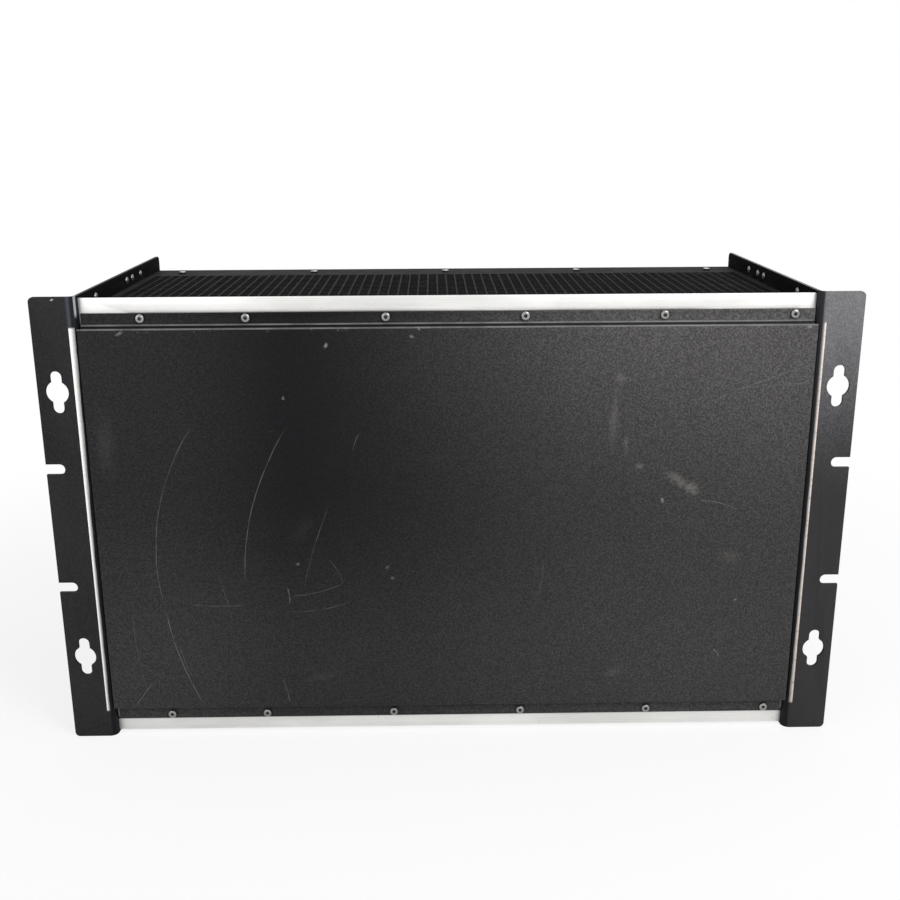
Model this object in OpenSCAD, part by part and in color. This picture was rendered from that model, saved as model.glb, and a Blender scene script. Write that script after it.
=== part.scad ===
// Subrack card cage with rear mounting ears, a closed rear cover and an open card side.
// The rear cover faces -Y, the card opening faces +Y, +Z is up. The origin is the middle of the base.

/* [Overall] */
// Width over the two mounting ears
width = 482.6; // [478:0.2:520]
// Height of the circuit boards
board_h = 233.35; // [200:0.05:270]
// Depth from the rear face of the ears to the front edge of the side plates
depth = 206; // [160:1:300]

/* [Side plates and ears] */
// Thickness of the folded sheet
sheet = 2; // [1.5:0.1:2.5]
// Inside radius of the fold between side plate and ear
bend_r = 2.8; // [2:0.1:3.5]
// Radius of the outer corners of an ear
ear_corner_r = 3; // [1:0.5:6]
// Radius of the front corners of a side plate
plate_corner_r = 3.5; // [1:0.5:5]
// Distance from the edge of an ear to the middle of its keyholes
hole_inset = 11.3; // [10:0.1:13]
// Height between the two keyholes of an ear
keyhole_spacing = 170.4; // [140:0.2:210]
// Diameter of the round middle of a keyhole
keyhole_d = 13.6; // [10:0.2:15]
// Width of the slots above and below the middle of a keyhole
keyhole_slot_w = 6.8; // [5:0.2:8]
// Length of a keyhole from slot end to slot end
keyhole_len = 25.4; // [20:0.2:32]
// Height between the two open slots of an ear
open_slot_spacing = 76.2; // [50:0.2:110]
// Width of an open slot
open_slot_w = 6.4; // [5:0.2:8]
// How far the side plates and ears rise above the rails
edge_rise = 11.2; // [8:0.05:20]
// Distance of the rivet rows from the top and bottom edges of a side plate
rivet_inset = 5.6; // [4:0.1:6]

/* [Module bay] */
// Clear width for the plug-in modules
bay_w = 426.72; // [416:0.04:428]
// Width of the power supply bay
power_w = 60.96; // [40.64:0.04:81.28]
// Space between the rear rails and the backplane board
rear_space = 6.21; // [3:0.01:20]
// Gap between the modules and each side plate
side_gap = 1.04; // [0.6:0.02:2]

/* [Rails] */
// Height of a rail without its lip
rail_h = 7.45; // [7.2:0.05:8]
// Distance from a board's edge to the guide face of a rail
rail_gap = 5.98; // [5:0.02:6.4]
// Depth of the rear rails
rear_rail_depth = 14; // [13.5:0.1:16]
// Depth of the backplane rails
backplane_rail_depth = 10; // [9.6:0.1:14]
// Depth of the front rails
front_rail_depth = 30; // [29:0.1:34]
// Thickness of the upright lip on a rear rail
lip_t = 2; // [1.5:0.1:2.4]
// Distance from the edge of the side plates to the lip
lip_drop = 1.6; // [1:0.1:3]
// Distance from the rear face of the ears to the rear rails
rear_recess = 5.35; // [5:0.05:7]
// Distance from the front edge of the side plates to the front rails
front_recess = 2; // [1:0.1:4]
// Distance of the tapped holes from the outer face of a rail
tapped_inset = 2.18; // [1.8:0.02:2.4]

/* [Rear cover] */
// Thickness of the cover sheet
cover_t = 1.5; // [1:0.1:1.6]
// How far the flanges reach past the rails' outer faces
flange_over = 0.84; // [0.2:0.02:2]
// Height of a flange, from its edge to the raised field
flange_h = 8.75; // [7:0.05:14]
// Gap between the ends of the flanges and the module bay's sides
flange_end_gap = 0.16; // [0:0.02:4]
// Distance from the rear face of the ears to the raised field
field_recess = 0.35; // [0.2:0.05:0.6]
// Slope of the step between flange and field, along the height
step_run = 1.6; // [1:0.1:2.4]

/* [Vent panels] */
// Thickness of the perforated sheet
vent_t = 0.8; // [0.6:0.1:1.2]
// Pitch of the perforation
vent_pitch = 6.35; // [6:0.05:10]
// Width of the web between two openings
vent_web = 1; // [0.8:0.05:1.6]
// Width of the plain margin over the front rails
vent_front_margin = 33; // [31:0.5:36]
// Width of the plain margin over the rear rails
vent_rear_margin = 10; // [9:0.5:14]
// Narrowest plain margin at the sides
vent_side_margin = 4; // [3:0.5:12]

/* [Card guides] */
// Width of a guide
guide_w = 7; // [6:0.1:9]
// Height of a guide
guide_h = 8.55; // [7.5:0.05:9.5]
// Width of the groove for the board's edge
groove_w = 2; // [1.8:0.1:2.4]
// Depth of the groove
groove_d = 3; // [2:0.1:3.5]
// Diameter of the pegs that clip into the rails
peg_d = 3.8; // [3:0.1:4]
// Length of the pegs
peg_h = 1.7; // [1.2:0.1:1.8]

/* [Backplane] */
// Thickness of the backplane board
backplane_t = 3.2; // [2.4:0.1:3.6]
// Distance from a board's edge to the middle of its nearest connector
connector_inset = 50; // [49:0.05:52]
// Length of a connector over its flanges
connector_len = 94.9; // [90:0.1:98]
// Width of a connector's flanges
connector_w = 10.2; // [9:0.1:12]
// Height of a connector above the board
connector_h = 11; // [9:0.1:13]
// Thickness of a connector's flanges
connector_flange_t = 2.6; // [2:0.1:3]

/* [Fasteners] */
// Head diameter of the small screws
small_head_d = 5.2; // [4.6:0.1:5.6]
// Head height of the small screws
small_head_h = 1.5; // [1.2:0.1:1.6]
// Shank diameter of the small screws
small_core_d = 2; // [1.8:0.05:2]
// Head diameter of the rail screws
large_head_d = 7.4; // [6.4:0.1:8]
// Head height of the rail screws
large_head_h = 2.4; // [2:0.1:3]
// Shank diameter of the rail screws
large_core_d = 3.2; // [3:0.05:3.2]
// Head diameter of the rivets
rivet_head_d = 4.6; // [4:0.1:5.4]
// Shank diameter of the rivets
rivet_core_d = 2.8; // [2.4:0.1:3]
// Height of a rivet's heads
rivet_head_h = 0.9; // [0.7:0.1:1.2]

/* [Hidden] */
$fn = 48;
slots = 9; // double-width module places beside the power supply
units = 84; // pitch units across the module bay
fit = 0.3; // clearance between sheet parts that pass each other
hole_fit = 0.1; // a hole's diameter over the diameter of what sits in it
pass_fit = 0.8; // a clearance hole's diameter over a screw's shank
cut = 1; // how far a cutter runs past the face it cuts

unit = bay_w / units;
slot_pitch = (bay_w - power_w) / slots;
inner_w = bay_w + 2 * side_gap;
body_w = inner_w + 2 * sheet;
rear_y = -depth / 2;
front_y = depth / 2;
outer_r = bend_r + sheet;
ear_flat_x = body_w / 2 + bend_r;
hole_x = width / 2 - hole_inset;

guide_face = board_h / 2 + rail_gap; // of a rail, from mid height
rail_top = guide_face + rail_h;
height = 2 * (rail_top + edge_rise);
mid_z = height / 2;
tapped_z = rail_top - tapped_inset;
backplane_screw_z = guide_face + rail_h / 2;
lip_top = mid_z - lip_drop;
rear_rail_y = rear_y + rear_recess;
front_rail_y = front_y - front_recess;
backplane_y = rear_rail_y + rear_rail_depth + rear_space + backplane_t; // front face of the board
cover_h = 2 * (rail_top + flange_over);
cover_flange_w = bay_w - 2 * flange_end_gap;
field_h = cover_h - 2 * flange_h;
small_tap_d = small_core_d + hole_fit;
large_tap_d = large_core_d + hole_fit;
small_pass_d = small_core_d + pass_fit;
large_pass_d = large_core_d + pass_fit;
small_reach = 4; // how far a small screw's shank goes into a rail
large_reach = 10; // how far a rail screw's shank goes into a rail
channel_v = rail_h / 2; // height of a rail's screw channel above its guide face
channel_slit = 1.2;

rear_channels = [10.5]; // screw channels, from the outer face of each rail
backplane_channels = [7.2];
front_channels = [11, 26];
rear_vent_screw_in = lip_t + 3.5; // vent screws, from the outer face of each rail
front_vent_screw_in = 19;
backplane_peg_in = 2.9; // guide pegs, from the outer face of each rail
front_peg_in = 15.5;

cover_screw_x = [for (n = [-35.25, -23.25, -7.25, 8.75, 24.75, 39.75]) n * unit];
vent_screw_x = [for (n = [-2:2]) n * 19 * unit];
backplane_screw_x = [for (n = [-3:3]) n * 13 * unit + unit];
slot_x = [for (i = [1:slots]) -bay_w / 2 + (i - 0.5) * slot_pitch];
power_x = bay_w / 2 - power_w / 2;
power_guide_x = [power_x - power_w / 3, power_x + power_w / 3];
connector_spacing = board_h - 2 * connector_inset;
rivet_y = [for (n = [40.5, 112.5, 126.5, 148.5]) rear_y + n * depth / 206];
card_offset = 2.54 * unit / 5.08; // a board lies left of the middle of its slot

// A cylinder along +Y that starts at the origin.
module bar_y(d, len) {
    rotate([-90, 0, 0]) cylinder(d = d, h = len);
}

// A cylinder along +X that starts at the origin.
module bar_x(d, len) {
    rotate([0, 90, 0]) cylinder(d = d, h = len);
}

// What is drawn for the top is turned over for the bottom.
module at_level(top) {
    if (top) children();
    else translate([0, 0, height]) mirror([0, 0, 1]) children();
}

// Extrudes an outline in the Y-Z plane along X, centred on X.
module along_x(len) {
    translate([-len / 2, 0, 0]) rotate([90, 0, 90]) linear_extrude(len) children();
}

// ---- side plates with ears ----

module keyhole() {
    slot_end = (keyhole_len - keyhole_slot_w) / 2;
    bar_y(keyhole_d, sheet + 2 * cut);
    for (s = [-1, 1]) translate([0, 0, s * slot_end]) bar_y(keyhole_slot_w, sheet + 2 * cut);
    translate([-keyhole_slot_w / 2, 0, -slot_end]) cube([keyhole_slot_w, sheet + 2 * cut, 2 * slot_end]);
}

module open_slot() {
    translate([open_slot_w / 2, 0, 0]) {
        bar_y(open_slot_w, sheet + 2 * cut);
        translate([0, 0, -open_slot_w / 2]) cube([hole_inset + cut, sheet + 2 * cut, open_slot_w]);
    }
}

// The flat of the right ear: an outline with two round corners, cut by its holes.
module ear_flat() {
    ear_w = width / 2 - ear_flat_x;
    difference() {
        translate([ear_flat_x, rear_y + sheet, 0]) rotate([90, 0, 0]) linear_extrude(sheet) {
            square([ear_w - ear_corner_r, height]);
            translate([0, ear_corner_r]) square([ear_w, height - 2 * ear_corner_r]);
            for (z = [ear_corner_r, height - ear_corner_r]) {
                translate([ear_w - ear_corner_r, z]) circle(ear_corner_r);
            }
        }
        for (s = [-1, 1]) {
            translate([hole_x, rear_y - cut, mid_z + s * keyhole_spacing / 2]) keyhole();
            translate([hole_x, rear_y - cut, mid_z + s * open_slot_spacing / 2]) open_slot();
        }
    }
}

// The quarter-round fold that joins the right ear to its side plate.
module fold() {
    translate([ear_flat_x, rear_y + outer_r, 0]) intersection() {
        difference() {
            cylinder(r = outer_r, h = height);
            translate([0, 0, -cut]) cylinder(r = bend_r, h = height + 2 * cut);
        }
        translate([-outer_r, -outer_r, 0]) cube([outer_r, outer_r, height]);
    }
}

// Where the rail screws pass a side plate, as [y, height above or below the middle].
function rail_screw_places() = concat(
    [for (u = rear_channels) [rear_rail_y + u, guide_face + channel_v]],
    [for (u = backplane_channels) [backplane_y + u, guide_face + channel_v]],
    [for (u = front_channels) [front_rail_y - u, guide_face + channel_v]]
);

module side_plate() {
    fold_y = rear_y + outer_r;
    plate_len = front_y - fold_y;
    ear_flat();
    fold();
    difference() {
        translate([inner_w / 2, fold_y, 0]) rotate([90, 0, 90]) linear_extrude(sheet) {
            square([plate_len - plate_corner_r, height]);
            translate([0, plate_corner_r]) square([plate_len, height - 2 * plate_corner_r]);
            for (z = [plate_corner_r, height - plate_corner_r]) {
                translate([plate_len - plate_corner_r, z]) circle(plate_corner_r);
            }
        }
        for (place = rail_screw_places(), s = [-1, 1]) {
            translate([inner_w / 2 - cut, place[0], mid_z + s * place[1]]) bar_x(large_pass_d, sheet + 2 * cut);
        }
        for (y = rivet_y, z = [rivet_inset, height - rivet_inset]) {
            translate([inner_w / 2 - cut, y, z]) bar_x(rivet_core_d + hole_fit, sheet + 2 * cut);
        }
    }
}

module side_plate_left() {
    color([0.17, 0.17, 0.17]) mirror([1, 0, 0]) side_plate();
}

module side_plate_right() {
    color([0.17, 0.17, 0.17]) side_plate();
}

// ---- rails ----

// A rail's outline, from its outer face (x = 0) inwards and from its guide face (y = 0) outwards.
module rail_outline(len, channels, lip) {
    difference() {
        union() {
            square([len, rail_h]);
            square([lip_t, rail_h + lip]);
        }
        for (u = channels) {
            translate([u, channel_v]) circle(d = large_tap_d);
            translate([u - channel_slit / 2, -cut]) square([channel_slit, channel_v + cut]);
        }
    }
}

module tapped_row(xs, y, z, dir) {
    for (x = xs) translate([x, y, mid_z + z]) {
        mirror([0, dir < 0 ? 1 : 0, 0]) translate([0, -cut, 0]) bar_y(small_tap_d, small_reach + 1 + cut);
    }
}

module vent_screw_holes(y) {
    for (x = vent_screw_x) translate([x, y, mid_z + rail_top - small_reach]) {
        cylinder(d = small_tap_d, h = small_reach + cut);
    }
}

module peg_holes(y) {
    for (x = guide_xs()) translate([x, y, mid_z + guide_face - cut]) {
        cylinder(d = peg_d + 2 * hole_fit, h = peg_h + hole_fit + cut);
    }
}

module rear_rail(top) {
    at_level(top) difference() {
        translate([0, rear_rail_y, mid_z + guide_face]) along_x(inner_w) {
            rail_outline(rear_rail_depth, rear_channels, lip_top - rail_top);
        }
        tapped_row(cover_screw_x, rear_rail_y, tapped_z, 1);
        vent_screw_holes(rear_rail_y + rear_vent_screw_in);
    }
}

module backplane_rail(top) {
    at_level(top) difference() {
        translate([0, backplane_y, mid_z + guide_face]) along_x(inner_w) {
            rail_outline(backplane_rail_depth, backplane_channels, 0);
        }
        tapped_row(backplane_screw_x, backplane_y, backplane_screw_z, 1);
        peg_holes(backplane_y + backplane_peg_in);
    }
}

module front_rail(top) {
    at_level(top) difference() {
        translate([0, front_rail_y, mid_z + guide_face]) along_x(inner_w) {
            mirror([1, 0]) rail_outline(front_rail_depth, front_channels, 0);
        }
        tapped_row(module_screw_xs(), front_rail_y, tapped_z, -1);
        vent_screw_holes(front_rail_y - front_vent_screw_in);
        peg_holes(front_rail_y - front_peg_in);
    }
}

// Two retaining screws for each module, near the edges of its front panel.
function module_screw_xs() = [
    for (i = [0:slots - 1], s = [1.5 * unit, slot_pitch - 1.5 * unit]) -bay_w / 2 + i * slot_pitch + s,
    power_x - power_w / 2 + 1.5 * unit,
    power_x + power_w / 2 - 1.5 * unit
];

module rear_top_rail() { color([0.91, 0.91, 0.89]) rear_rail(true); }
module rear_bottom_rail() { color([0.91, 0.91, 0.89]) rear_rail(false); }
module backplane_top_rail() { color([0.8, 0.8, 0.79]) backplane_rail(true); }
module backplane_bottom_rail() { color([0.8, 0.8, 0.79]) backplane_rail(false); }
module front_top_rail() { color([0.8, 0.8, 0.79]) front_rail(true); }
module front_bottom_rail() { color([0.8, 0.8, 0.79]) front_rail(false); }

// ---- rear cover ----

// Half of the raised field's width: its edge clears the fold of the side plates.
field_back = field_recess + cover_t + fit;
field_half_w = ear_flat_x - sqrt(pow(outer_r, 2) - pow(outer_r - field_back, 2));

// The cover's section: two flanges on the rails, stepped back from the raised field.
module cover_outline() {
    flange = cover_h / 2;
    field = field_h / 2;
    root = field + step_run;
    back = rear_recess;
    polygon([
        [back, -flange], [back, -root + cover_t / 2], [field_recess + cover_t, -field + cover_t / 2],
        [field_recess + cover_t, field - cover_t / 2], [back, root - cover_t / 2], [back, flange],
        [back - cover_t, flange], [back - cover_t, root], [field_recess, field],
        [field_recess, -field], [back - cover_t, -root], [back - cover_t, -flange]
    ]);
}

module rear_cover() {
    color([0.19, 0.18, 0.18]) difference() {
        union() {
            translate([0, rear_y, mid_z]) along_x(cover_flange_w) cover_outline();
            translate([-field_half_w, rear_y + field_recess, mid_z - field_h / 2]) {
                cube([2 * field_half_w, cover_t, field_h]);
            }
        }
        for (x = cover_screw_x, s = [-1, 1]) {
            translate([x, rear_rail_y - cover_t - cut, mid_z + s * tapped_z]) bar_y(small_pass_d, cover_t + 2 * cut);
        }
    }
}

// ---- fasteners ----

// A screw along +Z: its head's underside is at the origin and its shank goes down.
module pan_screw(head_d, head_h, core_d, len, socket_d) {
    rim = head_h * 0.45;
    difference() {
        rotate_extrude() polygon([
            [0, -len], [core_d / 2 - 0.3, -len], [core_d / 2, 0.3 - len], [core_d / 2, 0], [head_d / 2, 0],
            [head_d / 2, head_h - rim], [head_d / 2 - rim * 0.35, head_h - rim * 0.35],
            [head_d / 2 - rim, head_h], [0, head_h]
        ]);
        translate([0, 0, head_h * 0.4]) cylinder(d = socket_d, h = head_h, $fn = 6);
    }
}

module small_screw(grip) {
    pan_screw(small_head_d, small_head_h, small_core_d, grip + small_reach - 0.5, 2.4);
}

module cover_screws() {
    color([0.75, 0.74, 0.72]) for (x = cover_screw_x, s = [-1, 1]) {
        translate([x, rear_rail_y - cover_t, mid_z + s * tapped_z]) rotate([90, 0, 0]) small_screw(cover_t);
    }
}

module vent_screws() {
    color([0.2, 0.2, 0.2]) for (top = [true, false]) at_level(top) {
        for (x = vent_screw_x, y = [rear_rail_y + rear_vent_screw_in, front_rail_y - front_vent_screw_in]) {
            translate([x, y, mid_z + rail_top + vent_t]) small_screw(vent_t);
        }
    }
}

module backplane_screws() {
    color([0.75, 0.74, 0.72]) for (x = backplane_screw_x, s = [-1, 1]) {
        translate([x, backplane_y - backplane_t, mid_z + s * backplane_screw_z]) {
            rotate([90, 0, 0]) small_screw(backplane_t);
        }
    }
}

module rail_screws(side) {
    color([0.25, 0.25, 0.25]) for (place = rail_screw_places(), s = [-1, 1]) {
        translate([side * body_w / 2, place[0], mid_z + s * place[1]]) rotate([0, side * 90, 0]) {
            pan_screw(large_head_d, large_head_h, large_core_d, sheet + large_reach, 3.4);
        }
    }
}

module rail_screws_left() { rail_screws(-1); }
module rail_screws_right() { rail_screws(1); }

// A rivet through a side plate, with a domed head inside and a set head outside.
module rivet() {
    translate([inner_w / 2, 0, 0]) rotate([0, 90, 0]) {
        cylinder(d = rivet_core_d, h = sheet);
        translate([0, 0, sheet]) cylinder(d = rivet_head_d, h = rivet_head_h / 2);
        mirror([0, 0, 1]) rotate_extrude() polygon([
            [0, 0], [rivet_head_d / 2, 0], [rivet_head_d / 2 - 0.3, rivet_head_h * 0.6],
            [rivet_head_d / 2 - 1, rivet_head_h], [0, rivet_head_h]
        ]);
    }
}

module side_rivets(side) {
    color([0.75, 0.74, 0.72]) for (y = rivet_y, z = [rivet_inset, height - rivet_inset]) {
        mirror([side < 0 ? 1 : 0, 0, 0]) translate([0, y, z]) rivet();
    }
}

module side_rivets_left() { side_rivets(-1); }
module side_rivets_right() { side_rivets(1); }

// ---- vent panels ----

vent_rows_per_slot = 6; // rows of the perforation that one slot spans

module vent_panel(top) {
    panel_w = inner_w - 2 * fit;
    rear_edge = rear_rail_y + lip_t + fit;
    panel_len = front_rail_y - rear_edge;
    field_w = panel_w - 2 * vent_side_margin;
    field_len = panel_len - vent_front_margin - vent_rear_margin;
    columns = floor(field_w / vent_pitch);
    bands = floor(field_len / (vent_pitch * vent_rows_per_slot));
    slot_len = vent_pitch * vent_rows_per_slot - vent_web;
    at_level(top) difference() {
        translate([-panel_w / 2, rear_edge, mid_z + rail_top]) linear_extrude(vent_t) difference() {
            square([panel_w, panel_len]);
            for (c = [0:columns - 1], b = [0:bands - 1]) {
                translate([
                    panel_w / 2 + (c - columns / 2) * vent_pitch + vent_web / 2,
                    panel_len - vent_front_margin - (b + 1) * vent_pitch * vent_rows_per_slot + vent_web / 2
                ]) square([vent_pitch - vent_web, slot_len]);
            }
        }
        for (x = vent_screw_x, y = [rear_rail_y + rear_vent_screw_in, front_rail_y - front_vent_screw_in]) {
            translate([x, y, mid_z + rail_top - cut]) cylinder(d = small_pass_d, h = vent_t + 2 * cut);
        }
    }
}

module top_vent_panel() { color([0.16, 0.16, 0.16]) vent_panel(true); }
module bottom_vent_panel() { color([0.16, 0.16, 0.16]) vent_panel(false); }

// ---- card guides ----

function guide_xs() = concat([for (x = slot_x) x - card_offset], power_guide_x);

// One guide under the top rails, centred on X = 0, with its groove facing the board.
module guide() {
    rear_end = backplane_y + fit;
    wall_start = connector_flange_t; // the groove's walls clear the connector's flange
    front_end = front_rail_y - 0.8;
    len = front_end - rear_end;
    top_z = mid_z + guide_face;
    wall = (guide_w - groove_w) / 2;
    foot = guide_h - groove_d - 1.2;
    difference() {
        translate([0, rear_end, top_z - guide_h]) {
            translate([-guide_w / 2, 0, guide_h - foot]) cube([guide_w, len, foot]);
            translate([-groove_w / 2 - 1.2, wall_start, 0]) {
                cube([groove_w + 2.4, len - wall_start, guide_h - foot + 0.01]);
            }
        }
        translate([-groove_w / 2, rear_end - cut, top_z - guide_h - cut]) {
            cube([groove_w, len + 2 * cut, groove_d + cut]);
        }
        // the groove's mouth flares at the front
        translate([0, front_end, top_z - guide_h - cut]) linear_extrude(groove_d + cut) polygon([
            [-groove_w / 2 - 0.9, cut], [-groove_w / 2 - 0.7, 0], [-groove_w / 2, -6],
            [groove_w / 2, -6], [groove_w / 2 + 0.7, 0], [groove_w / 2 + 0.9, cut]
        ]);
        // recesses between the rails lighten the foot
        for (s = [-1, 1]) translate([s * guide_w / 2, backplane_y + backplane_rail_depth + 6, top_z - foot - cut]) {
            translate([-wall / 2, 0, 0]) cube([wall, len - front_rail_depth - backplane_rail_depth - 10, foot + 2 * cut]);
        }
    }
    for (y = [backplane_y + backplane_peg_in, front_rail_y - front_peg_in]) {
        translate([0, y, top_z]) cylinder(d = peg_d, h = peg_h);
    }
}

module card_guide(n, top) {
    color([0.45, 0.45, 0.46]) at_level(top) translate([slot_x[n - 1] - card_offset, 0, 0]) guide();
}

module power_guides(top) {
    color([0.45, 0.45, 0.46]) for (x = power_guide_x) at_level(top) translate([x, 0, 0]) guide();
}

module top_power_guides() { power_guides(true); }
module bottom_power_guides() { power_guides(false); }

// ---- backplane ----

backplane_h = 2 * (rail_top - fit);

module backplane() {
    color([0.16, 0.33, 0.2]) difference() {
        translate([-bay_w / 2, backplane_y - backplane_t, mid_z - backplane_h / 2]) {
            cube([bay_w, backplane_t, backplane_h]);
        }
        for (x = backplane_screw_x, s = [-1, 1]) {
            translate([x, backplane_y - backplane_t - cut, mid_z + s * backplane_screw_z]) {
                bar_y(small_pass_d, backplane_t + 2 * cut);
            }
        }
    }
}

// A socket block with contact rows as grooves, centred on the origin and standing along +Y.
module connector(len, w, rows) {
    block_len = len - 10;
    block_w = w - 1.8;
    difference() {
        union() {
            translate([-w / 2, 0, -len / 2]) cube([w, connector_flange_t, len]);
            translate([-block_w / 2, 0, -block_len / 2]) cube([block_w, connector_h, block_len]);
        }
        for (r = [0:rows - 1]) {
            translate([(r - (rows - 1) / 2) * block_w / (rows + 0.3) - 0.4, connector_h - 1, -block_len / 2 + 2]) {
                cube([0.8, 1 + cut, block_len - 4]);
            }
        }
    }
}

module slot_connector(n, upper) {
    color([0.82, 0.8, 0.74]) translate([
        slot_x[n - 1] - card_offset, backplane_y, mid_z + (upper ? 1 : -1) * connector_spacing / 2
    ]) connector(connector_len, connector_w, 3);
}

module power_connector() {
    color([0.82, 0.8, 0.74]) translate([power_x, backplane_y, mid_z + connector_spacing / 2]) {
        connector(connector_len, connector_w * 1.4, 2);
    }
}

// ---- the list of nodes ----

side_plate_left();
side_plate_right();
rear_cover();
cover_screws();
rear_top_rail();
rear_bottom_rail();
backplane_top_rail();
backplane_bottom_rail();
front_top_rail();
front_bottom_rail();
rail_screws_left();
rail_screws_right();
side_rivets_left();
side_rivets_right();
top_vent_panel();
bottom_vent_panel();
vent_screws();
backplane();
backplane_screws();
power_connector();
top_power_guides();
bottom_power_guides();
for (n = [1:slots]) {
    card_guide(n, true);
    card_guide(n, false);
    slot_connector(n, true);
    slot_connector(n, false);
}
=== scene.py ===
import math

import bmesh
import bpy
from mathutils import Matrix, Vector


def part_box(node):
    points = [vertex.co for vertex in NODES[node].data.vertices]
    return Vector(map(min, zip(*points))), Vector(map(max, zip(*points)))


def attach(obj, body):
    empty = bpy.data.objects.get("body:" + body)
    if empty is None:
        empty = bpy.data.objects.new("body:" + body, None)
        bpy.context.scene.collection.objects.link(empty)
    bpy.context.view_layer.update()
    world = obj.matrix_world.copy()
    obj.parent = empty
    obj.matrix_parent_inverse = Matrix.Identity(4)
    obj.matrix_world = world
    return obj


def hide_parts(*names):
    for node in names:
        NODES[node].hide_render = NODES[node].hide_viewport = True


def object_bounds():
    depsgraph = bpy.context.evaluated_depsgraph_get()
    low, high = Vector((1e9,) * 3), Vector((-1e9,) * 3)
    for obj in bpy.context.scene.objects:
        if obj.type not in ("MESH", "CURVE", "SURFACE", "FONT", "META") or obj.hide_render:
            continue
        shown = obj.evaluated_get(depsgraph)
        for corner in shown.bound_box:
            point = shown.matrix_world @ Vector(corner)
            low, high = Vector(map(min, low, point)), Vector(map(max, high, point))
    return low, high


bl_info = {
    "name": "Subrack Card Cage",
    "version": (1, 0, 0),
    "blender": (4, 5, 0),
    "location": "3D View > Sidebar > Card Cage",
    "description": "Dresses a subrack card cage: painted sheet, bare rails, vents, screws and plastics",
    "category": "Object",
}

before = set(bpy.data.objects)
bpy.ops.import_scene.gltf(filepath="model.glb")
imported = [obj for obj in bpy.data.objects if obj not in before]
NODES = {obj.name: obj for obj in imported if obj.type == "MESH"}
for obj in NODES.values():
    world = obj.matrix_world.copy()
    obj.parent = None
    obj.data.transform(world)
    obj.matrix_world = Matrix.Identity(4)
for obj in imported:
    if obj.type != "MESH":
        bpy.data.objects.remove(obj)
CAD_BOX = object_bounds()
MM = 0.001
WELD = 0.002 * MM
FLAT = math.radians(1)
SHARP = math.radians(30)
MID_Z = (CAD_BOX[0].z + CAD_BOX[1].z) / 2

# The bare band on the folds: its outer edge from the cover's edge, how much its inner edge wavers, how far it
# stops short of the cover's ends, and its width from foot to top on the left and on the right.
BAND_END = 4.3 * MM
BAND_WAVER = 1.2 * MM
BAND_INSET = 8.5 * MM
LEFT_BAND = (1.9 * MM, 3.3 * MM)
RIGHT_BAND = (2.2 * MM, 1.6 * MM)

# The chip on the left ear, and where the painted sheen on the right ear begins and is full.
CHIP_X = -227.5 * MM
CHIP_DOWN = 1.7 * MM
GLARE_X = (200 * MM, 210 * MM)
GLARE_Z = (150 * MM, 285 * MM)

# The cover's step below its top edge: the field's crest and the flange's foot.
CREST_DOWN = 8.9 * MM
FOOT_DOWN = 6.9 * MM
CONTACT_PITCH = 2.54 * MM
BOARD_EDGE = (126.5 * MM, 127 * MM)
SCREW_EDGE = 0.08 * MM
COVER_SCREW_EDGE = 0.22 * MM

FLOOR_SIZE = 9.0
LENS = 44.504
CAMERA_PLACE = (-9.3 * MM, -741.6 * MM, 376.0 * MM)
CAMERA_YAW = math.radians(-0.84)
CAMERA_PITCH = math.radians(-16.29)
CAMERA_ROLL = math.radians(0.29)

# Lamps: name, place, size in metres and power in watts.
LAMPS = [
    ("key", (1.15, -1.25, 1.35), 0.9, 27.0),
    ("fill", (-1.5, -1.3, 0.9), 1.2, 8.0),
    ("top", (0.3, 0.5, 1.9), 1.4, 5.0),
]


# ---- sizes and colours that a user would change ----


def a_length(name, description, default, least):
    return bpy.props.FloatProperty(
        name=name, description=description, default=default, min=least, unit="LENGTH")


def a_colour(name, description, default):
    return bpy.props.FloatVectorProperty(
        name=name, description=description, default=default, subtype="COLOR", min=0.0, max=1.0)


class CageSizes(bpy.types.PropertyGroup):
    """Sizes of the finish; the construction's own sizes come from the frame."""

    sheet_edge: a_length("Sheet edge", "Rounding of the painted sheet's edges", 0.25 * MM, 0.0)
    rail_edge: a_length("Rail edge", "Rounding of the rails' edges", 0.3 * MM, 0.0)
    cover_bend: a_length(
        "Cover bend", "Rounding of the bends that step the cover's flanges back", 0.9 * MM, 0.0)
    moulded_edge: a_length("Moulded edge", "Rounding of guides and connectors", 0.15 * MM, 0.0)
    vent_pitch: a_length("Vent pitch", "Pitch of the square openings", 6.35 * MM, 0.004)
    vent_web: a_length("Vent web", "Width of the web between two openings", 1.0 * MM, 0.0004)
    vent_front_margin: a_length(
        "Front margin", "Plain margin of the vents over the front rails", 33 * MM, 0.0)
    vent_rear_margin: a_length(
        "Rear margin", "Least plain margin of the vents over the rear rails", 10 * MM, 0.0)
    vent_side_margin: a_length("Side margin", "Least plain margin at the vents' sides", 4 * MM, 0.0)


class CageColours(bpy.types.PropertyGroup):
    """Colours of the finishes."""

    paint: a_colour("Paint", "Black paint on the side plates and ears", (0.009, 0.009, 0.0095))
    cover: a_colour("Cover", "Textured black paint of the rear cover", (0.0036, 0.0036, 0.0043))
    vent: a_colour("Vent", "Black paint of the perforated panels", (0.006, 0.006, 0.0065))
    aluminium: a_colour("Aluminium", "Bare metal of the rails and the worn folds", (0.89, 0.885, 0.865))
    zinc: a_colour("Zinc", "Plated screws and rivets", (0.36, 0.355, 0.345))
    oxide: a_colour("Black oxide", "Blackened screws", (0.03, 0.03, 0.032))
    guide: a_colour("Guide", "Moulded card guides", (0.17, 0.17, 0.175))
    connector: a_colour("Connector", "Moulded connector bodies", (0.62, 0.57, 0.46))
    board: a_colour("Board", "Solder mask of the backplane", (0.012, 0.075, 0.03))


# ---- small tools for node trees ----


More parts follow.
